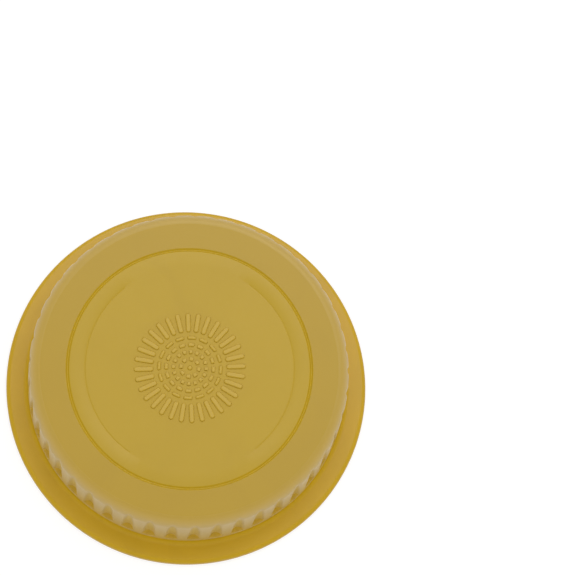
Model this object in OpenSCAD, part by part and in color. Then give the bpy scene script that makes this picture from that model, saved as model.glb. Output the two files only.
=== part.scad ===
// Rear lens cap: a round moulded cup with a fluted grip, a flange round its
// mouth and a bayonet inside that turns and locks behind a lens.
// It stands mouth down. The axis of the cap is Z, and z = 0 is the mouth.

/* [Bore] */
// Diameter of the bore, which clears the bayonet of the lens
bore_d = 54.4; // [40:0.1:70]
// Thickness of the wall behind the flutes
wall_t = 0.9; // [0.7:0.05:2]
// Thickness of the closed top
top_t = 1.8; // [1.4:0.1:3]
// Fillet between the bore and the closed top
bore_fillet_r = 1.5; // [0.8:0.1:2.2]
// Chamfer round the mouth of the bore
mouth_chamfer = 0.4; // [0.1:0.1:0.6]

/* [Grip] */
// Height of the whole cap
cap_h = 16.4; // [14:0.2:30]
// Angle by which the wall of the grip leans in, as the mould needs
draft = 1.9; // [0.5:0.1:2.5]
// Rounding of the grip's top edge
grip_edge_r = 2; // [1:0.1:2.2]
// Fillet where the grip meets the flange
foot_fillet_r = 1; // [0.5:0.1:1.3]
// Number of ribs round the grip
rib_count = 45; // [30:1:54]
// Radius of the round section of each flute
flute_r = 1.2; // [1:0.05:1.4]
// Depth of each flute at its lower end
flute_depth = 0.85; // [0.6:0.05:0.95]
// Smooth height of the grip between the flange and the flutes
flute_lift = 2.1; // [1.4:0.1:4]
// Depth that is left of each flute where the rounded top edge begins
flute_top_depth = 0.15; // [0.1:0.05:0.5]

/* [Flange] */
// Width of the flange beyond the grip
flange_w = 3.9; // [2.5:0.1:8]
// Thickness of the flange
flange_t = 2.1; // [1.7:0.1:3]
// Rounding of the flange's upper edge
flange_edge_r = 0.9; // [0.4:0.1:1.2]
// Chamfer of the flange's lower edge
flange_chamfer = 0.4; // [0.1:0.1:0.6]

/* [Bayonet] */
// Number of tabs
tab_count = 3; // [2:1:4]
// How far the tabs reach into the bore
tab_reach = 1.5; // [1:0.1:2.5]
// Thickness of a tab
tab_t = 1.2; // [0.8:0.1:1.6]
// Height of the tabs' lower face above the mouth plane
tab_lift = 0.2; // [0.1:0.05:0.5]
// Angle that each tab spans
tab_span = 54; // [40:1:66]
// Length of the ramp on the end of a tab that leads in
ramp_l = 5; // [2:0.5:8]
// Thickness that is left at the tip of the ramp
ramp_tip = 0.5; // [0.3:0.1:0.7]
// Width of the stop at the other end of a tab
stop_w = 2; // [1.2:0.2:4]
// Height of the stop above its tab
stop_h = 1.8; // [1:0.1:3]

/* [Face] */
// Width of the plain rim between the grip and the ring groove
rim_w = 6.8; // [4:0.1:8]
// Width of the ring groove
groove_w = 0.8; // [0.4:0.1:1.2]
// Depth of the ring groove
groove_depth = 0.4; // [0.2:0.1:0.8]
// Distance of the two faint arcs from the ring groove
arc_inset = 3.1; // [1:0.1:4]
// Width of the arcs
arc_w = 0.4; // [0.3:0.05:0.6]
// Depth of the arcs
arc_depth = 0.15; // [0.1:0.05:0.3]
// Angle that each arc spans
arc_span = 120; // [60:5:150]

/* [Sunburst] */
// Height of the sunburst and its rings above the face
relief = 0.25; // [0.1:0.05:0.4]
// Number of rays
ray_count = 32; // [16:1:36]
// Diameter at the rays' inner ends
ray_d_inner = 13; // [12.6:0.2:15]
// Diameter at the rays' outer ends
ray_d_outer = 20; // [18:0.2:26]
// Width of a ray
ray_w = 0.8; // [0.5:0.05:1]
// Diameter of the boss at the very centre
boss_d = 0.9; // [0.6:0.1:1.4]
// Radius of the innermost broken ring, at the middle of its width
ring_first_r = 1.6; // [1.4:0.1:1.8]
// Distance from one broken ring to the next
ring_pitch = 1.3; // [1:0.05:1.3]
// Number of broken rings
ring_count = 4; // [1:1:4]
// Width of a broken ring
ring_w = 0.6; // [0.4:0.05:0.7]
// Gap between the pieces of a ring
ring_gap = 0.55; // [0.3:0.05:0.6]
// Number of pieces in the innermost ring
pieces_first = 8; // [4:1:8]
// Number of pieces in each of the other rings
pieces_outer = 16; // [8:1:16]

/* [Hidden] */

$fn = 96;
// Overlap that makes joined pieces run into each other and cuts run clear
eps = 0.5;
// How far a side starts inside the arc that it meets, so that they cross cleanly
bite = 0.002;

bore_r = bore_d / 2;
ceiling_z = cap_h - top_t;
tab_r = bore_r - tab_reach;

// Distance of the flutes' bottom from the axis, at their lower end
flute_root_r = bore_r + wall_t;
flute_axis_r = flute_root_r + flute_r;
flute_z = flange_t + flute_lift;
function grip_r(z) = flute_root_r + flute_depth + (flute_z - z) * tan(draft);

// How far the bottom of the flutes leans out in each millimetre of height
grip_edge_z = cap_h - grip_edge_r;
flute_lean = (grip_r(grip_edge_z) - flute_top_depth - flute_root_r) / (grip_edge_z - flute_z);

flange_r = grip_r(0) + flange_w;

// Centres of the arcs of the outer section, each tangent to both its sides
edge_c = [flange_r - flange_edge_r, flange_t - flange_edge_r];
top_c = [grip_r(grip_edge_z) - grip_edge_r / cos(draft), grip_edge_z];
fillet_z = flange_t + foot_fillet_r;
fillet_c = [grip_r(fillet_z) + foot_fillet_r / cos(draft), fillet_z];

groove_r = grip_r(cap_h) - rim_w;
arc_r = groove_r - arc_inset;

// Section of the cap's outside, to the right of the axis
module outer_section() {
    polygon([
        [0, 0],
        [flange_r - flange_chamfer, 0],
        [flange_r, flange_chamfer],
        [flange_r, edge_c.y],
        edge_c,
        edge_c + [0, flange_edge_r - bite],
        [grip_r(flange_t), flange_t],
        top_c + (grip_edge_r - bite) * [cos(draft), sin(draft)],
        top_c,
        [top_c.x, cap_h],
        [0, cap_h]
    ]);
    translate(edge_c) circle(flange_edge_r);
    translate(top_c) circle(grip_edge_r);
    foot_fillet();
}

// Corner between the grip and the flange, hollowed by its fillet
module foot_fillet() {
    difference() {
        polygon([
            [flute_root_r, flange_t / 2],
            fillet_c - [0, foot_fillet_r],
            fillet_c,
            fillet_c - foot_fillet_r * [cos(draft), sin(draft)]
        ]);
        translate(fillet_c) circle(foot_fillet_r + bite);
    }
}

// Section of the hollow, open at the mouth
module hollow_section() {
    polygon([
        [0, -eps],
        [bore_r + mouth_chamfer + eps, -eps],
        [bore_r, mouth_chamfer],
        [bore_r, ceiling_z - bore_fillet_r],
        [bore_r - bore_fillet_r, ceiling_z - bore_fillet_r],
        [bore_r - bore_fillet_r, ceiling_z],
        [0, ceiling_z]
    ]);
    translate([bore_r - bore_fillet_r, ceiling_z - bore_fillet_r]) circle(bore_fillet_r);
}

// Section of a line cut into the face
module groove_section(radius, width, depth) {
    translate([radius - width / 2, cap_h - depth]) square([width, depth + eps]);
}

module shell() {
    rotate_extrude() difference() {
        outer_section();
        hollow_section();
        groove_section(groove_r, groove_w, groove_depth);
    }
}

// Cutter for one flute: a round bar that tapers upwards, so that the flute
// grows shallower and narrower. Its lower end is a cone, over whose slope the
// flute gains its depth.
module flute() {
    slope_z = flute_depth / (1 + flute_lean);
    top_z = cap_h - flute_z;
    rotate_extrude() polygon([
        [0, flute_depth - flute_r],
        [flute_r - slope_z * flute_lean, slope_z],
        [flute_r - top_z * flute_lean, top_z],
        [0, top_z]
    ]);
}

// The flutes stand between the ribs, and the first rib is on +X
module flutes() {
    pitch = 360 / rib_count;
    for (i = [0 : rib_count - 1]) {
        rotate((i + 0.5) * pitch) translate([flute_axis_r, 0, flute_z]) flute();
    }
}

// One bayonet tab, with a ramp at its leading end and a stop at the other
module tab() {
    stop_angle = 2 * asin(stop_w / 2 / tab_r);
    ramp_angle = atan((tab_t - ramp_tip) / ramp_l);
    difference() {
        rotate_extrude(angle = tab_span)
            translate([tab_r, tab_lift]) square([tab_reach + eps, tab_t + stop_h]);
        // The way that the tab of the lens slides along, up to the stop
        translate([0, 0, tab_lift + tab_t]) rotate(-stop_angle) rotate_extrude(angle = tab_span)
            square([bore_r + 2 * eps, stop_h + eps]);
        translate([0, ramp_l, tab_lift + tab_t]) rotate([ramp_angle, 0, 0])
            translate([0, -2 * ramp_l, 0]) cube([bore_r + 2 * eps, 2 * ramp_l, tab_t]);
    }
}

// The first tab is centred on +X
module bayonet() {
    for (i = [0 : tab_count - 1]) {
        rotate(i * 360 / tab_count - tab_span / 2) tab();
    }
}

// Two faint arcs on the face, one on each side of the sunburst
module face_arcs() {
    for (side = [90, 270]) {
        rotate(side - arc_span / 2) rotate_extrude(angle = arc_span)
            groove_section(arc_r, arc_w, arc_depth);
    }
}

// One ray of the sunburst, with round ends, lying along X
module ray() {
    inner_x = (ray_d_inner + ray_w) / 2;
    outer_x = (ray_d_outer - ray_w) / 2;
    translate([inner_x, -ray_w / 2]) square([outer_x - inner_x, ray_w]);
    translate([inner_x, 0]) circle(d = ray_w);
    translate([outer_x, 0]) circle(d = ray_w);
}

// A flat ring that is cut into equal pieces
module broken_ring(radius, pieces) {
    difference() {
        circle(radius + ring_w / 2);
        circle(radius - ring_w / 2);
        for (i = [0 : pieces - 1]) {
            rotate((i + 0.25) * 360 / pieces)
                translate([0, -ring_gap / 2]) square([radius + ring_w, ring_gap]);
        }
    }
}

// The rays and the broken rings inside them stand a little above the face
module sunburst() {
    translate([0, 0, cap_h - eps]) linear_extrude(relief + eps) {
        for (i = [0 : ray_count - 1]) {
            rotate(i * 360 / ray_count) ray();
        }
        for (i = [0 : ring_count - 1]) {
            broken_ring(ring_first_r + i * ring_pitch, i == 0 ? pieces_first : pieces_outer);
        }
        circle(d = boss_d);
    }
}

// The first rib, ray and tab are laid out on +X, and then turned to +Y
module rear_cap() {
    color("#bfa048") rotate(90) {
        difference() {
            shell();
            flutes();
            face_arcs();
        }
        bayonet();
        sunburst();
    }
}

rear_cap();
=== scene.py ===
import math

import bmesh
import bpy
from bpy.props import FloatProperty, FloatVectorProperty, IntProperty, PointerProperty, StringProperty
from mathutils import Matrix, Vector


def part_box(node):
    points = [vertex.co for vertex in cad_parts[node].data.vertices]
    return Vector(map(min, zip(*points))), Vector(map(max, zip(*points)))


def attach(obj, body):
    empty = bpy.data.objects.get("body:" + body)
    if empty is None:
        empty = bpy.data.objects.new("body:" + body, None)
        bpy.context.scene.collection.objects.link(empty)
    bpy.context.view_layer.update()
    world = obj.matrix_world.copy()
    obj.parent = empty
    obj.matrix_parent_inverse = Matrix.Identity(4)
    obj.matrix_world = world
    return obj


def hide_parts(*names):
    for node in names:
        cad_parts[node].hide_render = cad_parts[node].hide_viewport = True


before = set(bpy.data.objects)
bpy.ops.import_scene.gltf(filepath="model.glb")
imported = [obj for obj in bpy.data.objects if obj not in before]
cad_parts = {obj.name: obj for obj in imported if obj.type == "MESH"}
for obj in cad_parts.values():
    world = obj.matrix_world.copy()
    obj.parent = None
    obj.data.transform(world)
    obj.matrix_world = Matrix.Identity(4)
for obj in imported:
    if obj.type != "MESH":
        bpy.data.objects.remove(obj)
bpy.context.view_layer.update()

bl_info = {
    "name": "Rear Lens Cap",
    "version": (1, 0, 0),
    "blender": (4, 5, 0),
    "location": "View3D > Sidebar > Lens Cap",
    "description": "Models a moulded rear lens cap with a ribbed grip and a sunburst on its face",
    "category": "Object",
}

MM = 0.001
CAP_LOW, CAP_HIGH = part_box("rear_cap")

# The photograph's frame, in pixels, and the camera's sensor, in millimetres
PICTURE_PX = 576
SENSOR_MM = 36.0


# Settings

def size(name, words, mm):
    """A length, with its default in millimetres."""
    return FloatProperty(name=name, description=words, default=mm * MM, subtype="DISTANCE", unit="LENGTH")


def position(name, words, metres):
    """A place in space, with its default in metres."""
    return FloatVectorProperty(
        name=name, description=words, default=metres, subtype="TRANSLATION", unit="LENGTH")


def turn(name, words, degrees):
    """An angle, with its default in degrees."""
    return FloatProperty(
        name=name, description=words, default=math.radians(degrees), subtype="ANGLE", unit="ROTATION")


def power(name, words, watts):
    """A lamp's power, with its default in watts."""
    return FloatProperty(name=name, description=words, default=watts, min=0, unit="POWER")


def amount(name, words, value):
    """A number without a unit."""
    return FloatProperty(name=name, description=words, default=value, min=0)


def count(name, words, number):
    """A whole number of like things."""
    return IntProperty(name=name, description=words, default=number, min=1)


def hex_colour(name, words, text):
    """A colour, as sRGB hex."""
    return StringProperty(name=name, description=words, default=text)


class ShellSizes(bpy.types.PropertyGroup):
    """Sizes of the cap's revolved body"""
    bore_radius: size("Bore radius", "Radius of the bore", 27.2)
    top_thickness: size("Top thickness", "Thickness of the closed top", 1.8)
    bore_fillet: size("Bore fillet", "Fillet between the bore and the closed top", 1.5)
    mouth_chamfer: size("Mouth chamfer", "Chamfer round the mouth of the bore", 0.4)
    flange_thickness: size("Flange thickness", "Thickness of the flange", 2.1)
    flange_edge: size("Flange edge", "Rounding of the flange's upper edge", 0.9)
    flange_chamfer: size("Flange chamfer", "Chamfer of the flange's lower edge", 0.4)
    foot_fillet: size("Foot fillet", "Fillet where the grip meets the flange", 1.0)
    grip_edge: size("Grip edge", "Rounding of the grip's top edge", 2.0)


class GripSizes(bpy.types.PropertyGroup):
    """Sizes of the ribs and flutes round the grip"""
    ribs: count("Ribs", "Number of ribs round the grip", 45)
    columns: count("Columns", "Mesh columns from one rib to the next", 16)
    rows: count("Rows", "Mesh rows up the flutes", 26)
    ledge_rows: count("Ledge rows", "Mesh rows in the ledge at the flutes' lower end", 5)
    root_radius: size("Root radius", "Distance of the flutes' lower end from the cap's axis", 28.1)
    flute_depth: size("Flute depth", "Depth of a flute at its lower end", 0.85)
    flute_radius: size("Flute radius", "Radius of the round section of each flute at its lower end", 1.2)
    flute_top: size("Flute top", "Depth left of a flute where the rounded top edge begins", 0.3)
    flute_start: size("Flute start", "Height at which the flutes start", 4.2)
    ledge: size("Flute ledge", "Height over which a flute's lower end rounds in", 0.45)
    lip: size("Flute lip", "Softness of the edge between a flute and its ribs", 0.25)
    draft: turn("Draft", "Angle by which the grip's wall leans in", 1.9)


class FaceSizes(bpy.types.PropertyGroup):
    """Sizes of the lines cut into the face"""
    groove_radius: size("Groove radius", "Radius of the ring groove", 21.745)
    groove_width: size("Groove width", "Width of the ring groove", 0.62)
    groove_depth: size("Groove depth", "Depth of the ring groove", 0.34)
    groove_lip: size("Groove lip", "Rounding of the groove's edges", 0.06)
    arc_radius: size("Arc radius", "Radius of the two faint arcs", 18.645)
    arc_width: size("Arc width", "Width of the arcs", 0.5)
    arc_depth: size("Arc depth", "Depth of the arcs", 0.09)
    arc_span: turn("Arc span", "Angle that each arc spans", 120)


class SunburstSizes(bpy.types.PropertyGroup):
    """Sizes of the raised rays and broken rings"""
    relief: size("Relief", "Height of the sunburst above the face", 0.25)
    root: size("Root", "How far its pieces reach down into the face", 0.5)
    ray_edge: size("Ray edge", "Rounding of the rays' edges", 0.36)
    ring_edge: size("Ring edge", "Rounding of the edges of the broken rings and the boss", 0.28)
    rays: count("Rays", "Number of rays", 32)
    ray_inner: size("Ray inner radius", "Radius at the rays' inner ends", 6.5)
    ray_outer: size("Ray outer radius", "Radius at the rays' outer ends", 10.0)
    ray_width: size("Ray width", "Width of a ray", 0.9)
    boss_radius: size("Boss radius", "Radius of the boss at the very centre", 0.45)
    rings: count("Rings", "Number of broken rings", 4)
    ring_first: size("First ring", "Radius of the innermost broken ring", 1.6)
    ring_pitch: size("Ring pitch", "Distance from one broken ring to the next", 1.3)
    ring_width: size("Ring width", "Width of a broken ring", 0.65)
    ring_gap: size("Ring gap", "Gap between the pieces of a ring", 0.55)
    pieces_first: count("First pieces", "Number of pieces in the innermost ring", 8)
    pieces_outer: count("Outer pieces", "Number of pieces in each other ring", 16)


class BayonetSizes(bpy.types.PropertyGroup):
    """Sizes of the tabs inside the mouth"""
    tabs: count("Tabs", "Number of bayonet tabs", 3)
    reach: size("Reach", "How far a tab reaches into the bore", 1.5)
    thickness: size("Thickness", "Thickness of a tab", 1.2)
    lift: size("Lift", "Height of the tabs' lower face above the mouth plane", 0.2)
    root: size("Root", "How far a tab reaches into the wall", 0.3)
    edge: size("Edge", "Rounding of the tabs' edges", 0.1)
    span: turn("Span", "Angle that each tab spans", 54)
    ramp: size("Ramp", "Length of the ramp on the end that leads in", 5.0)
    tip: size("Tip", "Thickness left at the tip of the ramp", 0.5)
    stop_width: size("Stop width", "Width of the stop at the other end", 2.0)
    stop_height: size("Stop height", "Height of the stop above its tab", 1.8)


class PlasticFinish(bpy.types.PropertyGroup):
    """Colours and surface of the moulded plastic"""
    rim_hex: hex_colour("Rim colour", "Colour of the satin parts", "#ab8a0c")
    # Painted light: the foot colour makes the plastic lighter towards the mouth
    foot_light_hex: hex_colour(
        "Foot colour", "Colour of the thin flange, which lets some light through", "#c39c07")
    foot_start: size("Foot start", "Height at which the foot colour starts, from the top down", 15.0)
    foot_full: size("Foot full", "Height below which the foot colour is full", 3.0)
    disc_hex: hex_colour("Disc colour", "Colour inside the ring groove", "#b0900e")
    # Painted light: the groove's colour is lighter, for the light thrown between its walls
    groove_light_hex: hex_colour(
        "Groove colour", "Colour in the ring groove, where light is thrown to and fro", "#b7960b")
    # Painted sheen: the shoulder and the ribs' crests are painted paler
    painted_sheen_hex: hex_colour("Worn colour", "Colour of the shoulder, where hands have rubbed it", "#bb9d52")
    painted_sheen_depth: size("Worn depth", "How far in from the ribs' crests the wear reaches", 0.4)
    # Painted light: the flutes are painted lighter
    flute_light_hex: hex_colour("Flute colour", "Colour of the thin wall behind the flutes", "#cba81a")
    flute_light_strength: amount("Flute strength", "How far the flute colour shows", 0.45)
    # Painted highlight: the sunburst's crowns are painted paler
    crown_highlight_hex: hex_colour(
        "Raised colour", "Colour of the sunburst's crowns, which are rubbed a little", "#b8982e")
    flow_hex: hex_colour("Flow colour", "Colour of the flow marks", "#9c7c0c")
    flow_strength: amount("Flow strength", "How far the flow marks show", 0.15)
    flow_length: size("Flow length", "Length of the flow marks", 12.0)
    ior: amount("IOR", "Index of refraction of the plastic", 1.49)
    gloss: amount("Gloss", "Specular level of the matt surface", 0.27)
    grip_sheen: amount("Grip sheen", "Pale sheen of the grip at a slant", 0.17)
    sheen_roughness: amount("Sheen roughness", "Roughness of the grip's sheen", 0.6)
    rim_roughness: amount("Rim roughness", "Roughness of the satin parts", 0.45)
    disc_roughness: amount("Disc roughness", "Roughness inside the ring groove", 0.5)
    roughness_spread: amount("Roughness spread", "How far the grain moves the roughness either way", 0.05)
    rim_grain: size("Rim grain", "Width of the satin parts' grain", 0.3)
    rim_bump: size("Rim bump", "Depth of the satin parts' grain", 0.004)
    worn_bump: size("Worn bump", "Depth of the grain on the grip and in the ring groove", 0.002)
    disc_grain: size("Disc grain", "Width of the grain inside the ring groove", 0.45)
    disc_bump: size("Disc bump", "Depth of the grain inside the ring groove", 0.01)
    raised_bump: size("Raised bump", "Depth of the grain on the sunburst", 0.006)


class StageSettings(bpy.types.PropertyGroup):
    """Floor, light and camera"""
    floor_hex: hex_colour("Floor colour", "Colour of the floor", "#f2f2f0")
    floor_radius: size("Floor radius", "Radius of the floor", 2000)
    floor_gap: size("Floor gap", "How far the floor lies under the cap, so that the two don't meet", 0.02)
    floor_glow: amount("Floor glow", "Brightness that the camera sees in the floor's darkest shadow", 0.75)
    floor_shade: amount("Floor shade", "How far the light on the floor adds to that brightness", 0.3)
    sky_low: amount("Low sky", "Strength of the sky at the horizon", 0.55)
    sky_high: amount("High sky", "Strength of the sky overhead", 1.4)
    sky_start: amount("Sky start", "Sine of the angle above the horizon at which the sky brightens", 0.4)
    lamp_power: power("Lamp power", "Power of the softbox overhead", 0.8)
    lamp_size: size("Lamp size", "Width of the softbox", 500)
    lamp_place: position("Lamp place", "Place of the softbox", (0.25, 0.3, 0.8))
    panel_power: power("Panel power", "Power of the panel that shows in the gloss", 7.5)
    panel_size: size("Panel size", "Width of the panel that shows in the gloss", 700)
    panel_place: position("Panel place", "Place of the panel that shows in the gloss", (0.1, 0.48, 0.76))
    azimuth: turn("Azimuth", "Camera's direction round the cap", -19.25)
    elevation: turn("Elevation", "Camera's height above the horizon", 75.39)
    roll: turn("Roll", "Camera's turn about the line that it looks along", 17.18)
    distance: size("Distance", "Distance from the camera to the cap, along its line of sight", 479.3)
    lens: FloatProperty(
        name="Lens", description="Camera's focal length in millimetres", default=162.58, unit="CAMERA")
    origin_px: FloatVectorProperty(
        name="Origin in the picture", description="Pixel at which the centre of the cap's mouth lies",
        size=2, default=(186.5, 386.69))


class CapSettings(bpy.types.PropertyGroup):
    """All settings of the cap and its stage"""
    shell: PointerProperty(type=ShellSizes)
    grip: PointerProperty(type=GripSizes)
    face: PointerProperty(type=FaceSizes)
    sunburst: PointerProperty(type=SunburstSizes)
    bayonet: PointerProperty(type=BayonetSizes)
    finish: PointerProperty(type=PlasticFinish)
    stage: PointerProperty(type=StageSettings)


# Sizes that follow from the frame and the settings

def flange_radius():
    return (CAP_HIGH.x - CAP_LOW.x) / 2


def face_height(settings):
    """Height of the face that the sunburst stands on."""
    return CAP_HIGH.z - settings.sunburst.relief


def grip_radius(grip, height):
    """Radius over the ribs at a height."""
    return grip.root_radius + grip.flute_depth + (grip.flute_start - height) * math.tan(grip.draft)


# Work on a mesh

# Places nearer to each other than this count as one
NEAR = 0.01 * MM
# Vertices nearer to each other than this are merged
MERGE_DISTANCE = 0.002 * MM
# Edges that turn by more than this are rounded
ROUNDED_ANGLE = math.radians(40)
# Edges that turn by more than this are shaded crisp
CRISP_ANGLE = math.radians(35)


def activate(piece):
    """Select one piece, and nothing else."""
    bpy.ops.object.select_all(action="DESELECT")
    bpy.context.view_layer.objects.active = piece
    piece.select_set(True)


def edit(piece):
    """Open one piece in edit mode with nothing in it selected."""
    activate(piece)
    bpy.ops.object.mode_set(mode="EDIT")
    bpy.ops.mesh.select_mode(type="VERT")
    bpy.ops.mesh.select_all(action="DESELECT")


def leave_edit():
    bpy.ops.object.mode_set(mode="OBJECT")


def select(piece, kind, wanted):
    """Select the vertices, edges or faces whose middle passes a test, and nothing else."""
    bpy.ops.mesh.select_mode(type={"verts": "VERT", "edges": "EDGE", "faces": "FACE"}[kind])
    bpy.ops.mesh.select_all(action="DESELECT")
    mesh = bmesh.from_edit_mesh(piece.data)
    for part in getattr(mesh, kind):
        corners = [part.co] if kind == "verts" else [corner.co for corner in part.verts]
        if wanted(sum(corners, Vector()) / len(corners)):
            part.select_set(True)
    bmesh.update_edit_mesh(piece.data)


def around(place):
    """Distance of a place from the cap's axis."""
    return math.hypot(place.x, place.y)


def bearing(place):
    """Angle of a place round the cap's axis, counter-clockwise from +X."""
    return math.atan2(place.y, place.x)


def angle_off_x(place):
    """Angle round the cap's axis from a place to the nearer half of the X axis."""
    return math.pi / 2 - abs(abs(bearing(place)) - math.pi / 2)


def spin(angle, steps, copies=False):
    """Spin what is selected counter-clockwise about the cap's axis, as seen from above."""
    bpy.ops.mesh.spin(steps=steps, angle=-angle, dupli=copies, center=(0, 0, 0), axis=(0, 0, 1))


def apply_place(piece):
    """Move a piece's place, turn and scale into its mesh."""
    activate(piece)
    bpy.ops.object.transform_apply(location=True, rotation=True, scale=True)


def turn_piece(piece, angle):
    """Turn a piece's mesh about the cap's axis."""
    piece.rotation_euler = (0, 0, angle)
    apply_place(piece)


def apply_modifiers(piece):
    activate(piece)
    for modifier in list(piece.modifiers):
        bpy.ops.object.modifier_apply(modifier=modifier.name)


def copy_round_axis(piece, number):
    """Copy all of a piece's mesh round the cap's axis."""
    edit(piece)
    bpy.ops.mesh.select_all(action="SELECT")
    spin(math.tau * (number - 1) / number, number - 1, copies=True)
    leave_edit()


def close_surface(piece):
    """Merge what meets and turn the faces outwards."""
    edit(piece)
    bpy.ops.mesh.select_all(action="SELECT")
    bpy.ops.mesh.remove_doubles(threshold=MERGE_DISTANCE)
    bpy.ops.mesh.normals_make_consistent(inside=False)
    leave_edit()


def round_edges(piece, width, steps):
    """Round every sharp edge of a small piece."""
    bevel = piece.modifiers.new("Rounded edges", "BEVEL")
    bevel.width = width
    bevel.segments = steps
    bevel.limit_method = "ANGLE"
    bevel.angle_limit = ROUNDED_ANGLE
    apply_modifiers(piece)


def finish_piece(piece, *materials):
    """Shade a piece, check that it is closed, and put it in the place of the CAD node."""
    activate(piece)
    bpy.ops.object.shade_smooth_by_angle(angle=CRISP_ANGLE)
    piece.modifiers.new("Even shading", "WEIGHTED_NORMAL").keep_sharp = True
    apply_modifiers(piece)
    for material in materials:
        piece.data.materials.append(material)
    check = bmesh.new()
    check.from_mesh(piece.data)
    if any(len(edge.link_faces) != 2 for edge in check.edges):
        raise RuntimeError(f"{piece.name} isn't a closed surface")
    check.free()
    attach(piece, "root")
    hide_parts("rear_cap")


# Shell

# Mesh steps in the roundings of its section
FILLET_STEPS = 8
SHOULDER_STEPS = 14
CHAMFER_STEPS = 2
GROOVE_LIP_STEPS = 3
GROOVE_BOTTOM_STEPS = 4
# Shares of the arcs' span over which they are pressed, one after another, so that their ends fade
ARC_SHARES = (1, 0.95, 0.9)


def draw_section(name, corners):
    """Draw half a section as a wire in the XZ plane, from (radius, height, rounding, steps)."""
    bpy.ops.object.select_all(action="DESELECT")
    bpy.ops.mesh.primitive_plane_add(size=MM)
    piece = bpy.context.object
    piece.name = name
    places = [Vector((radius, 0, height)) for radius, height, _, _ in corners]
    edit(piece)
    # The plane becomes one point, from which the wire is drawn
    bpy.ops.mesh.select_all(action="SELECT")
    bpy.ops.mesh.merge(type="CENTER")
    bpy.ops.transform.translate(value=places[0])
    for here, there in zip(places, places[1:]):
        bpy.ops.mesh.extrude_region_move(TRANSFORM_OT_translate={"value": there - here})
    for before, place, after, (_, _, rounding, steps) in zip(places, places[1:], places[2:], corners[1:]):
        if rounding:
            bend = (place - before).angle(after - place)
            select(piece, "verts", lambda middle: (middle - place).length < NEAR)
            bpy.ops.mesh.bevel(
                affect="VERTICES", offset_type="ABSOLUTE", offset=rounding * math.tan(bend / 2),
                segments=steps, clamp_overlap=False)
    leave_edit()
    return piece


def groove_corners(radius, width, depth, lip, height):
    """Corners of a groove's section, from its outer edge to its inner one. The bottom is rounded
    twice as softly as the edges."""
    return [
        (radius + width / 2, height, lip, GROOVE_LIP_STEPS),
        (radius, height - depth, 2 * lip, GROOVE_BOTTOM_STEPS),
        (radius - width / 2, height, lip, GROOVE_LIP_STEPS),
    ]


def shell_corners(settings):
    """Corners of the shell's section, from the middle of the ceiling round to that of the face."""
    shell, grip, face = settings.shell, settings.grip, settings.face
    top = face_height(settings)
    ceiling = top - shell.top_thickness
    rim = flange_radius()
    chamfer_edge = shell.flange_chamfer / 4
    ledge_top = grip.flute_start + grip.ledge
    return [
        (0, ceiling, 0, 0),
        (shell.bore_radius, ceiling, shell.bore_fillet, FILLET_STEPS),
        (shell.bore_radius, shell.mouth_chamfer, 0, 0),
        (shell.bore_radius + shell.mouth_chamfer, 0, 0, 0),
        (rim - shell.flange_chamfer, 0, chamfer_edge, CHAMFER_STEPS),
        (rim, shell.flange_chamfer, chamfer_edge, CHAMFER_STEPS),
        (rim, shell.flange_thickness, shell.flange_edge, FILLET_STEPS),
        (grip_radius(grip, shell.flange_thickness), shell.flange_thickness, shell.foot_fillet, FILLET_STEPS),
        (grip_radius(grip, grip.flute_start), grip.flute_start, 0, 0),
        (grip_radius(grip, ledge_top), ledge_top, 0, 0),
        (grip_radius(grip, top), top, shell.grip_edge, SHOULDER_STEPS),
        *groove_corners(face.groove_radius, face.groove_width, face.groove_depth, face.groove_lip, top),
        (face.arc_radius + face.arc_width / 2, top, 0, 0),
        (face.arc_radius, top, 0, 0),
        (face.arc_radius - face.arc_width / 2, top, 0, 0),
        (0, top, 0, 0),
    ]


def flute_lean(settings):
    """How far the bottom of a flute leans out for its height."""
    grip = settings.grip
    edge_start = face_height(settings) - settings.shell.grip_edge
    run = grip_radius(grip, edge_start) - grip.flute_top - grip.root_radius
    return run / (edge_start - grip.flute_start)


def flute_cut(grip, lean, place):
    """How deep a flute cuts in at a place. The flute is centred on +X. Its lower end rounds in
    over the ledge, and above that it grows narrower and shallower."""
    ledge_top = grip.flute_start + grip.ledge
    below = max(ledge_top - place.z, 0) * grip.flute_radius / grip.ledge
    radius = grip.flute_radius - max(place.z - ledge_top, 0) * lean
    half_chord = math.sqrt(max(radius ** 2 - place.y ** 2 - below ** 2, 0))
    depth = place.x - (grip.root_radius + grip.flute_radius - half_chord)
    if half_chord == 0 or depth <= -grip.lip:
        return 0.0
    if depth >= grip.lip:
        return depth
    # Eased in, so that the edge against the rib is soft
    return (depth + grip.lip) ** 2 / (4 * grip.lip)


def press_flute(piece, grip, lean):
    """Press one flute into a slice of the shell, by a displacement with vertex weights. The
    weights are the flute's depth in millimetres."""
    weights = piece.vertex_groups.new(name="flute")
    for vertex in piece.data.vertices:
        cut = flute_cut(grip, lean, vertex.co)
        if cut > 0:
            weights.add([vertex.index], cut / MM, "REPLACE")
    press = piece.modifiers.new("Flute", "DISPLACE")
    press.direction = "X"
    press.vertex_group = weights.name
    press.mid_level = 0
    press.strength = -MM
    apply_modifiers(piece)
    piece.vertex_groups.clear()


def array_round_axis(piece, number):
    """Repeat a slice round the cap's axis until it closes."""
    bpy.ops.object.select_all(action="DESELECT")
    bpy.ops.object.empty_add(rotation=(0, 0, math.tau / number))
    step = bpy.context.object
    array = piece.modifiers.new("All round", "ARRAY")
    array.use_relative_offset = False
    array.use_object_offset = True
    array.offset_object = step
    array.count = number
    apply_modifiers(piece)
    bpy.data.objects.remove(step)


def press_arcs(piece, face, height):
    """Press the two faint arcs into the face, to the left and the right of the sunburst."""

    def on_line(middle):
        return abs(around(middle) - face.arc_radius) < NEAR and middle.z > height - face.arc_depth

    edit(piece)
    for share in ARC_SHARES:
        half_span = share * face.arc_span / 2
        select(piece, "verts", lambda middle: on_line(middle) and angle_off_x(middle) < half_span)
        bpy.ops.transform.translate(value=(0, 0, -face.arc_depth / len(ARC_SHARES)))
    leave_edit()


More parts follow.
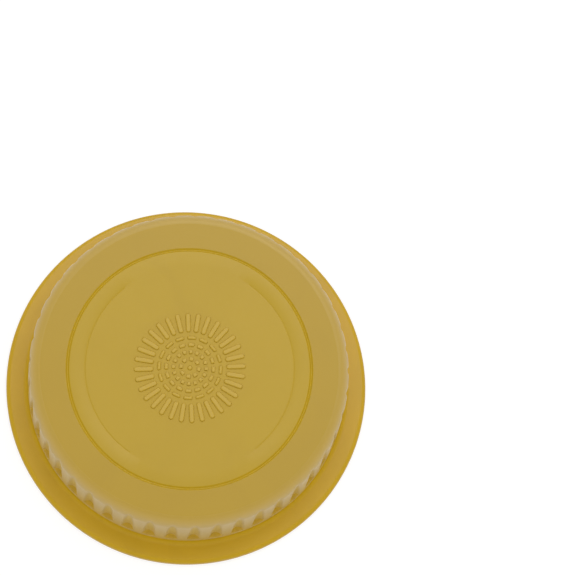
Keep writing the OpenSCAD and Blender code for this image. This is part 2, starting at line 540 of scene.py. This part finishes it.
def build_shell(settings):
    """One slice of the shell is spun and fluted, and then repeated all the way round."""
    grip = settings.grip
    pitch = math.tau / grip.ribs
    ledge_top = grip.flute_start + grip.ledge
    edge_start = face_height(settings) - settings.shell.grip_edge
    piece = draw_section("shell", shell_corners(settings))
    edit(piece)
    # The wall and the ledge need rows for the flutes to be pressed into
    stretches = ((ledge_top, edge_start, grip.rows), (grip.flute_start, ledge_top, grip.ledge_rows))
    for low, high, rows in stretches:
        select(piece, "edges", lambda middle: around(middle) > grip.root_radius and low < middle.z < high)
        bpy.ops.mesh.subdivide(number_cuts=rows)
    bpy.ops.mesh.select_all(action="SELECT")
    spin(pitch, grip.columns)
    leave_edit()
    turn_piece(piece, -pitch / 2)
    press_flute(piece, grip, flute_lean(settings))
    array_round_axis(piece, grip.ribs)
    close_surface(piece)
    # The first rib faces +Y
    turn_piece(piece, math.pi / 2 - pitch / 2)
    press_arcs(piece, settings.face, face_height(settings))
    return piece


# Sunburst

# Mesh steps in the rounding of its crowns and of a ray's ends
CROWN_STEPS = 4
RAY_END_STEPS = 5
# Mesh steps along one piece of a broken ring, and all round the boss
RING_PIECE_STEPS = 6
BOSS_STEPS = 32
# Rounding of a ray's ends, as a share of its width. A little less than half keeps the two apart.
RAY_END = 0.48


def build_ray(sunburst, low, high):
    """One ray, with round ends, lying along +X."""
    length = sunburst.ray_outer - sunburst.ray_inner
    place = ((sunburst.ray_inner + sunburst.ray_outer) / 2, 0, (low + high) / 2)
    bpy.ops.object.select_all(action="DESELECT")
    bpy.ops.mesh.primitive_cube_add(
        size=1, location=place, scale=(length, sunburst.ray_width, high - low))
    piece = bpy.context.object
    apply_place(piece)
    edit(piece)
    select(piece, "edges", lambda middle: abs(middle.z - place[2]) < NEAR)
    bpy.ops.mesh.bevel(affect="EDGES", offset=RAY_END * sunburst.ray_width, segments=RAY_END_STEPS)
    leave_edit()
    round_edges(piece, sunburst.ray_edge, CROWN_STEPS)
    return piece


def build_boss(sunburst, low, high):
    """The small round boss at the very centre."""
    bpy.ops.object.select_all(action="DESELECT")
    bpy.ops.mesh.primitive_cylinder_add(
        vertices=BOSS_STEPS, radius=sunburst.boss_radius, depth=high - low,
        location=(0, 0, (low + high) / 2))
    piece = bpy.context.object
    apply_place(piece)
    round_edges(piece, sunburst.ring_edge, CROWN_STEPS)
    return piece


def build_sector(name, inner, outer, low, high, angle, steps):
    """Part of a flat ring that starts on +X."""
    bpy.ops.object.select_all(action="DESELECT")
    bpy.ops.mesh.primitive_plane_add(
        size=1, location=((inner + outer) / 2, 0, (low + high) / 2), rotation=(math.pi / 2, 0, 0))
    piece = bpy.context.object
    piece.name = name
    piece.scale = (outer - inner, high - low, 1)
    apply_place(piece)
    edit(piece)
    bpy.ops.mesh.select_all(action="SELECT")
    spin(angle, steps)
    leave_edit()
    return piece


def build_broken_ring(sunburst, low, high, radius, pieces):
    """A ring of equal pieces. The middle of one gap lies a quarter of a pitch past +Y."""
    pitch = math.tau / pieces
    gap = sunburst.ring_gap / radius
    half = sunburst.ring_width / 2
    ring = build_sector(
        "broken_ring", radius - half, radius + half, low, high, pitch - gap, RING_PIECE_STEPS)
    close_surface(ring)
    round_edges(ring, sunburst.ring_edge, CROWN_STEPS)
    copy_round_axis(ring, pieces)
    turn_piece(ring, math.pi / 2 + pitch / 4 + gap / 2)
    return ring


def build_sunburst(settings):
    """The rays, the broken rings and the boss, joined to one piece. The first ray lies on +Y."""
    sunburst = settings.sunburst
    face = face_height(settings)
    low, high = face - sunburst.root, face + sunburst.relief
    piece = build_ray(sunburst, low, high)
    piece.name = "sunburst"
    copy_round_axis(piece, sunburst.rays)
    turn_piece(piece, math.pi / 2)
    parts = [piece]
    for index in range(sunburst.rings):
        radius = sunburst.ring_first + index * sunburst.ring_pitch
        pieces = sunburst.pieces_outer if index else sunburst.pieces_first
        parts.append(build_broken_ring(sunburst, low, high, radius, pieces))
    parts.append(build_boss(sunburst, low, high))
    activate(piece)
    for part in parts:
        part.select_set(True)
    bpy.ops.object.join()
    close_surface(piece)
    return piece


# Bayonet

# Mesh steps along a tab's ramp, its plain part and its stop, and in the rounding of its edges
RAMP_STEPS = 8
TAB_STEPS = 20
STOP_STEPS = 3
TAB_EDGE_STEPS = 2
# Bearings nearer to each other than this count as one
NEAR_BEARING = math.radians(0.1)


def build_bayonet(settings):
    """One tab is spun, sloped and given its stop, and then copied. The first is centred on +Y."""
    bayonet = settings.bayonet
    bore = settings.shell.bore_radius
    inner = bore - bayonet.reach
    low = bayonet.lift
    high = low + bayonet.thickness
    ramp_angle = bayonet.ramp / inner
    stop_angle = bayonet.stop_width / inner
    piece = build_sector("bayonet", inner, bore + bayonet.root, low, high, ramp_angle, RAMP_STEPS)
    edit(piece)
    select(piece, "faces", lambda middle: abs(bearing(middle) - ramp_angle) < NEAR_BEARING)
    spin(bayonet.span - ramp_angle - stop_angle, TAB_STEPS)
    spin(stop_angle, STOP_STEPS)
    leave_edit()
    close_surface(piece)

    # The ramp, column by column
    edit(piece)
    for column in range(RAMP_STEPS):
        angle = ramp_angle * column / RAMP_STEPS
        select(piece, "verts", lambda middle: middle.z > high - NEAR
               and abs(bearing(middle) - angle) < NEAR_BEARING)
        drop = (bayonet.thickness - bayonet.tip) * (1 - column / RAMP_STEPS)
        bpy.ops.transform.translate(value=(0, 0, -drop))

    # The stop
    select(piece, "faces", lambda middle: middle.z > high - NEAR
           and bearing(middle) > bayonet.span - stop_angle)
    bpy.ops.mesh.extrude_region_move(TRANSFORM_OT_translate={"value": (0, 0, bayonet.stop_height)})
    leave_edit()
    round_edges(piece, bayonet.edge, TAB_EDGE_STEPS)
    copy_round_axis(piece, bayonet.tabs)
    turn_piece(piece, math.pi / 2 - bayonet.span / 2)
    return piece


# Materials

# Values of the noise at which a flow mark starts to show and is full
FLOW_START = 0.45
FLOW_FULL = 0.8
# Share of the cap's height over which the grip's painted colours come in, from the mouth up
FADE_HEIGHT = 0.75
# Share of the shoulder's width over which the painted sheen comes in
FADE_WIDTH = 0.8


def linear(text):
    """An sRGB hex colour as linear RGBA."""
    values = [int(text[place:place + 2], 16) / 255 for place in (1, 3, 5)]
    return [v / 12.92 if v <= 0.04045 else ((v + 0.055) / 1.055) ** 2.4 for v in values] + [1.0]


def add_node(tree, kind, inputs=None, **settings):
    """Add a node with its settings. An input gets a value, or the output that it is linked to."""
    node = tree.nodes.new(kind)
    for name, value in settings.items():
        setattr(node, name, value)
    for name, value in (inputs or {}).items():
        if isinstance(value, bpy.types.NodeSocket):
            tree.links.new(value, node.inputs[name])
        else:
            node.inputs[name].default_value = value
    return node


def moulded_polypropylene(name, finish, colour_hex, roughness, grain, grain_depth):
    """Polypropylene, injection moulded against a spark-eroded mould.
    That gives an even yellow with painted light, lighter towards the thin flange, a soft pale sheen
    at a slant, a fine grain, and faint darker marks where the melt flowed. The grain is drawn
    coarser than the real one, so that it shows."""
    material = bpy.data.materials.new(name)
    material.use_nodes = True
    tree = material.node_tree
    place = add_node(tree, "ShaderNodeTexCoord").outputs["Object"]
    height = add_node(tree, "ShaderNodeSeparateXYZ", {"Vector": place}).outputs["Z"]
    # Painted light: the colour turns to the lighter foot colour from the top down towards the mouth
    painted_foot_light = add_node(
        tree, "ShaderNodeMapRange",
        {"Value": height, "From Min": finish.foot_start, "From Max": finish.foot_full})
    plain = add_node(
        tree, "ShaderNodeMixRGB",
        {"Fac": painted_foot_light.outputs["Result"], "Color1": linear(colour_hex), "Color2": linear(finish.foot_light_hex)})
    flow = add_node(
        tree, "ShaderNodeTexNoise",
        {"Vector": place, "Scale": 1 / finish.flow_length, "Detail": 4.0, "Distortion": 1.5})
    flow_amount = add_node(
        tree, "ShaderNodeMapRange",
        {"Value": flow.outputs["Fac"], "From Min": FLOW_START, "From Max": FLOW_FULL,
         "To Max": finish.flow_strength})
    colour = add_node(
        tree, "ShaderNodeMixRGB",
        {"Fac": flow_amount.outputs["Result"], "Color1": plain.outputs["Color"],
         "Color2": linear(finish.flow_hex)})
    grain_noise = add_node(
        tree, "ShaderNodeTexNoise", {"Vector": place, "Scale": 1 / grain, "Detail": 3.0, "Roughness": 0.6})
    bump = add_node(
        tree, "ShaderNodeBump",
        {"Height": grain_noise.outputs["Fac"], "Strength": 1.0, "Distance": grain_depth})
    uneven_roughness = add_node(
        tree, "ShaderNodeMapRange",
        {"Value": grain_noise.outputs["Fac"], "To Min": roughness - finish.roughness_spread,
         "To Max": roughness + finish.roughness_spread})
    surface = tree.nodes["Principled BSDF"]
    surface.inputs["IOR"].default_value = finish.ior
    surface.inputs["Specular IOR Level"].default_value = finish.gloss
    tree.links.new(colour.outputs["Color"], surface.inputs["Base Color"])
    tree.links.new(uneven_roughness.outputs["Result"], surface.inputs["Roughness"])
    tree.links.new(bump.outputs["Normal"], surface.inputs["Normal"])
    return material


def tint(material, share, colour_hex):
    """Mix a colour into the one that the material has, by an output that runs from 0 to 1."""
    tree = material.node_tree
    base = tree.nodes["Principled BSDF"].inputs["Base Color"]
    mixed = add_node(
        tree, "ShaderNodeMixRGB",
        {"Fac": share, "Color1": base.links[0].from_socket, "Color2": linear(colour_hex)})
    tree.links.new(mixed.outputs["Color"], base)


def rim_plastic(settings):
    """The satin plastic of the flange, the rim and the inside."""
    finish = settings.finish
    return moulded_polypropylene(
        "polypropylene_satin", finish, finish.rim_hex, finish.rim_roughness, finish.rim_grain,
        finish.rim_bump)


def disc_plastic(settings):
    """The slightly coarser plastic inside the ring groove."""
    finish = settings.finish
    return moulded_polypropylene(
        "polypropylene_grained", finish, finish.disc_hex, finish.disc_roughness, finish.disc_grain,
        finish.disc_bump)


def groove_plastic(settings):
    """The plastic in the ring groove, stronger in colour, with painted light for the light thrown to and fro
    there.
    """
    finish = settings.finish
    return moulded_polypropylene(
        "polypropylene_grooved", finish, finish.groove_light_hex, finish.rim_roughness, finish.rim_grain,
        finish.worn_bump)


def grip_plastic(settings):
    """The plastic of the ribs and the shoulder, which fingers have dulled. It looks paler at a
    slant. Its colour has a painted sheen, paler on the shoulder and the crests, and painted light,
    lighter in the flutes, for light through the thin wall behind them."""
    finish, grip, shell = settings.finish, settings.grip, settings.shell
    material = moulded_polypropylene(
        "polypropylene_worn", finish, finish.rim_hex, finish.rim_roughness, finish.rim_grain,
        finish.worn_bump)
    tree = material.node_tree
    surface = tree.nodes["Principled BSDF"]
    surface.inputs["Sheen Weight"].default_value = finish.grip_sheen
    surface.inputs["Sheen Roughness"].default_value = finish.sheen_roughness

    place = add_node(tree, "ShaderNodeTexCoord").outputs["Object"]
    height = add_node(tree, "ShaderNodeSeparateXYZ", {"Vector": place}).outputs["Z"]
    level = add_node(tree, "ShaderNodeVectorMath", {0: place, 1: (1, 1, 0)}, operation="MULTIPLY")
    radius = add_node(
        tree, "ShaderNodeVectorMath", {0: level.outputs["Vector"]}, operation="LENGTH").outputs["Value"]
    # The radius as it would be at the mouth, if the wall didn't lean in
    upright_radius = add_node(
        tree, "ShaderNodeMath", {0: height, 1: math.tan(grip.draft), 2: radius}, operation="MULTIPLY_ADD")

    # The crests of the ribs and the shoulder get the painted sheen, and the flutes don't
    top = face_height(settings)
    edge_start = top - shell.grip_edge
    mouth_radius = grip_radius(grip, 0)
    crest = add_node(
        tree, "ShaderNodeMapRange",
        {"Value": upright_radius.outputs["Value"], "From Min": mouth_radius - finish.painted_sheen_depth,
         "From Max": mouth_radius},
        interpolation_type="SMOOTHSTEP")
    shoulder = add_node(
        tree, "ShaderNodeMapRange",
        {"Value": height, "From Min": edge_start, "From Max": edge_start + shell.grip_edge / 2},
        interpolation_type="SMOOTHSTEP")
    crests_and_shoulder = add_node(
        tree, "ShaderNodeMath", {0: crest.outputs["Result"], 1: shoulder.outputs["Result"]},
        operation="MAXIMUM").outputs["Value"]
    flute_light_amount = add_node(
        tree, "ShaderNodeMath", {0: finish.flute_light_strength, 1: crests_and_shoulder}, operation="SUBTRACT", use_clamp=True)

    # Both painted colours come in from the mouth up, and the painted sheen also outwards over the shoulder
    shoulder_start = grip_radius(grip, top) - shell.grip_edge
    upwards = add_node(tree, "ShaderNodeMapRange", {"Value": height, "From Max": FADE_HEIGHT * top})
    outwards = add_node(
        tree, "ShaderNodeMapRange",
        {"Value": radius, "From Min": shoulder_start,
         "From Max": shoulder_start + FADE_WIDTH * shell.grip_edge})
    flute_light_share = add_node(
        tree, "ShaderNodeMath", {0: flute_light_amount.outputs["Value"], 1: upwards.outputs["Result"]},
        operation="MULTIPLY")
    reach = add_node(
        tree, "ShaderNodeMath", {0: outwards.outputs["Result"], 1: upwards.outputs["Result"]},
        operation="MULTIPLY")
    painted_sheen_share = add_node(
        tree, "ShaderNodeMath", {0: reach.outputs["Value"], 1: crests_and_shoulder}, operation="MULTIPLY")
    # Painted light: the flutes are painted lighter
    tint(material, flute_light_share.outputs["Value"], finish.flute_light_hex)
    # Painted sheen: the crests and the shoulder are painted paler
    tint(material, painted_sheen_share.outputs["Value"], finish.painted_sheen_hex)
    return material


def sunburst_plastic(settings):
    """The disc's plastic on the raised sunburst, with a painted highlight that makes it paler towards the
    crowns.
    """
    finish = settings.finish
    material = moulded_polypropylene(
        "polypropylene_raised", finish, finish.disc_hex, finish.disc_roughness, finish.disc_grain,
        finish.raised_bump)
    tree = material.node_tree
    place = add_node(tree, "ShaderNodeTexCoord").outputs["Object"]
    height = add_node(tree, "ShaderNodeSeparateXYZ", {"Vector": place}).outputs["Z"]
    face = face_height(settings)
    # Painted highlight: paler towards the crowns of the rays, rings and boss
    crown_highlight = add_node(
        tree, "ShaderNodeMapRange",
        {"Value": height, "From Min": face, "From Max": face + settings.sunburst.relief},
        interpolation_type="SMOOTHSTEP")
    tint(material, crown_highlight.outputs["Result"], finish.crown_highlight_hex)
    return material


# What the shell's faces are made of, in the order of its material slots
SHELL_PLASTICS = (rim_plastic, disc_plastic, grip_plastic, groove_plastic)


def share_out_finishes(piece, settings):
    """Give each face of the shell its plastic, by its place."""
    face, shell, grip = settings.face, settings.shell, settings.grip
    top_middle = face_height(settings) - shell.top_thickness / 2
    shoulder_start = grip_radius(grip, face_height(settings)) - shell.grip_edge
    grip_foot = shell.flange_thickness + shell.foot_fillet
    wall_middle = (shell.bore_radius + grip.root_radius) / 2
    for polygon in piece.data.polygons:
        radius, height = around(polygon.center), polygon.center.z
        plastic = rim_plastic
        if height > top_middle:
            if radius < face.groove_radius - face.groove_width / 2:
                plastic = disc_plastic
            elif radius < face.groove_radius + face.groove_width / 2:
                plastic = groove_plastic
            elif radius > shoulder_start:
                plastic = grip_plastic
        elif height > grip_foot and radius > wall_middle:
            plastic = grip_plastic
        polygon.material_index = SHELL_PLASTICS.index(plastic)


# Stage

WHITE = (1, 1, 1, 1)
# Number of straight sides of the floor's outline
FLOOR_SIDES = 96


def seen_directly(tree):
    """An output that is 1 for what the camera and reflections see, and 0 for what lights the cap."""
    path = add_node(tree, "ShaderNodeLightPath")
    return add_node(
        tree, "ShaderNodeMath", {0: path.outputs["Is Camera Ray"], 1: path.outputs["Is Glossy Ray"]},
        operation="MAXIMUM").outputs["Value"]


def pale_floor(stage):
    """Painted board, pale and matt. The camera sees it lit to white, with the cap's soft shadow."""
    material = bpy.data.materials.new("painted_board")
    material.use_nodes = True
    tree = material.node_tree
    tree.nodes.remove(tree.nodes["Principled BSDF"])
    board = add_node(tree, "ShaderNodeBsdfDiffuse", {"Color": linear(stage.floor_hex)})
    grey = (stage.floor_shade, stage.floor_shade, stage.floor_shade, 1)
    faint = add_node(tree, "ShaderNodeBsdfDiffuse", {"Color": grey})
    glow = add_node(tree, "ShaderNodeEmission", {"Color": WHITE, "Strength": stage.floor_glow})
    seen = add_node(tree, "ShaderNodeAddShader", {0: faint.outputs[0], 1: glow.outputs[0]})
    mix = add_node(
        tree, "ShaderNodeMixShader", {0: seen_directly(tree), 1: board.outputs[0], 2: seen.outputs[0]})
    tree.links.new(mix.outputs[0], tree.nodes["Material Output"].inputs["Surface"])
    return material


def build_floor(stage):
    bpy.ops.object.select_all(action="DESELECT")
    bpy.ops.mesh.primitive_circle_add(
        vertices=FLOOR_SIDES, radius=stage.floor_radius, fill_type="NGON", location=(0, 0, -stage.floor_gap))
    floor = bpy.context.object
    floor.name = "floor"
    floor.data.materials.append(pale_floor(stage))


def light_sky(stage):
    """A white sky, brighter overhead. The camera and reflections see it as plain white."""
    world = bpy.data.worlds.new("studio")
    bpy.context.scene.world = world
    world.use_nodes = True
    tree = world.node_tree
    direction = add_node(tree, "ShaderNodeTexCoord").outputs["Generated"]
    height = add_node(tree, "ShaderNodeSeparateXYZ", {"Vector": direction}).outputs["Z"]
    strength = add_node(
        tree, "ShaderNodeMapRange",
        {"Value": height, "From Min": stage.sky_start, "From Max": 1.0,
         "To Min": stage.sky_low, "To Max": stage.sky_high},
        interpolation_type="SMOOTHSTEP")
    light = tree.nodes["Background"]
    light.inputs["Color"].default_value = WHITE
    tree.links.new(strength.outputs["Result"], light.inputs["Strength"])
    white = add_node(tree, "ShaderNodeBackground", {"Color": WHITE, "Strength": 1.0})
    mix = add_node(
        tree, "ShaderNodeMixShader", {0: seen_directly(tree), 1: light.outputs[0], 2: white.outputs[0]})
    tree.links.new(mix.outputs[0], tree.nodes["World Output"].inputs["Surface"])


def add_lamp(name, place, width, watts):
    """A square lamp that faces the cap."""
    bpy.ops.object.light_add(type="AREA", location=place)
    lamp = bpy.context.object
    lamp.name = name
    lamp.rotation_euler = Vector(place).to_track_quat("Z", "Y").to_euler()
    lamp.data.size = width
    lamp.data.energy = watts
    return lamp


def add_lamps(stage):
    """A large soft lamp overhead, and behind the cap a panel that shows only in its gloss.
    The grip hides the panel from the front of the flange, which so keeps its full colour."""
    add_lamp("softbox", stage.lamp_place, stage.lamp_size, stage.lamp_power)
    panel = add_lamp("panel", stage.panel_place, stage.panel_size, stage.panel_power)
    panel.visible_diffuse = False


def place_camera(stage):
    """Look at the cap as the photograph does, with its origin at the right pixel."""
    azimuth, elevation = stage.azimuth, stage.elevation
    right = Vector((math.cos(azimuth), math.sin(azimuth), 0))
    back = Vector((
        math.sin(azimuth) * math.cos(elevation),
        -math.cos(azimuth) * math.cos(elevation),
        math.sin(elevation)))
    up = back.cross(right)
    axes = Matrix((right, up, back)).transposed() @ Matrix.Rotation(stage.roll, 3, "Z")
    # How far the origin lies right of and above the picture's centre, at its distance
    per_px = stage.distance * SENSOR_MM / stage.lens / PICTURE_PX
    origin = Vector((
        (stage.origin_px[0] - PICTURE_PX / 2) * per_px,
        (PICTURE_PX / 2 - stage.origin_px[1]) * per_px,
        -stage.distance))
    bpy.ops.object.camera_add()
    camera = bpy.context.object
    camera.name = "camera"
    camera.data.lens = stage.lens
    camera.data.sensor_width = SENSOR_MM
    camera.matrix_world = Matrix.Translation(axes @ -origin) @ axes.to_4x4()
    bpy.context.scene.camera = camera


# Operators

class CapShell(bpy.types.Operator):
    """Model the revolved shell with its flutes, groove and arcs"""
    bl_idname = "lens_cap.shell"
    bl_label = "Shell"

    def execute(self, context):
        settings = context.scene.rear_cap
        piece = build_shell(settings)
        finish_piece(piece, *[plastic(settings) for plastic in SHELL_PLASTICS])
        share_out_finishes(piece, settings)
        return {"FINISHED"}


class CapSunburst(bpy.types.Operator):
    """Model the raised rays and broken rings in the middle of the face"""
    bl_idname = "lens_cap.sunburst"
    bl_label = "Sunburst"

    def execute(self, context):
        settings = context.scene.rear_cap
        finish_piece(build_sunburst(settings), sunburst_plastic(settings))
        return {"FINISHED"}


class CapBayonet(bpy.types.Operator):
    """Model the bayonet tabs inside the mouth"""
    bl_idname = "lens_cap.bayonet"
    bl_label = "Bayonet"

    def execute(self, context):
        settings = context.scene.rear_cap
        finish_piece(build_bayonet(settings), rim_plastic(settings))
        return {"FINISHED"}


class CapStage(bpy.types.Operator):
    """Set up the floor, the light and the camera"""
    bl_idname = "lens_cap.stage"
    bl_label = "Stage"

    def execute(self, context):
        stage = context.scene.rear_cap.stage
        build_floor(stage)
        light_sky(stage)
        add_lamps(stage)
        place_camera(stage)
        context.scene.view_settings.view_transform = "Standard"
        return {"FINISHED"}


class CapPanel(bpy.types.Panel):
    """Lists the cap's sizes and the steps that build it"""
    bl_idname = "VIEW3D_PT_lens_cap"
    bl_label = "Rear Lens Cap"
    bl_space_type = "VIEW_3D"
    bl_region_type = "UI"
    bl_category = "Lens Cap"

    def draw(self, context):
        settings = context.scene.rear_cap
        for name in ("shell", "grip", "face", "sunburst", "bayonet", "finish", "stage"):
            group = getattr(settings, name)
            box = self.layout.box()
            box.label(text=name.capitalize())
            for key in group.__annotations__:
                box.prop(group, key)
        for step in STEPS:
            self.layout.operator(step.bl_idname)


STEPS = (CapShell, CapSunburst, CapBayonet, CapStage)
GROUPS = (
    ShellSizes, GripSizes, FaceSizes, SunburstSizes, BayonetSizes, PlasticFinish, StageSettings, CapSettings)


def register():
    for group in GROUPS:
        bpy.utils.register_class(group)
    bpy.types.Scene.rear_cap = PointerProperty(type=CapSettings)
    for step in STEPS:
        bpy.utils.register_class(step)
    bpy.utils.register_class(CapPanel)


def unregister():
    bpy.utils.unregister_class(CapPanel)
    for step in reversed(STEPS):
        bpy.utils.unregister_class(step)
    del bpy.types.Scene.rear_cap
    for group in reversed(GROUPS):
        bpy.utils.unregister_class(group)


def main():
    register()
    bpy.ops.lens_cap.shell()
    bpy.ops.lens_cap.sunburst()
    bpy.ops.lens_cap.bayonet()
    bpy.ops.lens_cap.stage()


if __name__ == "__main__":
    main()
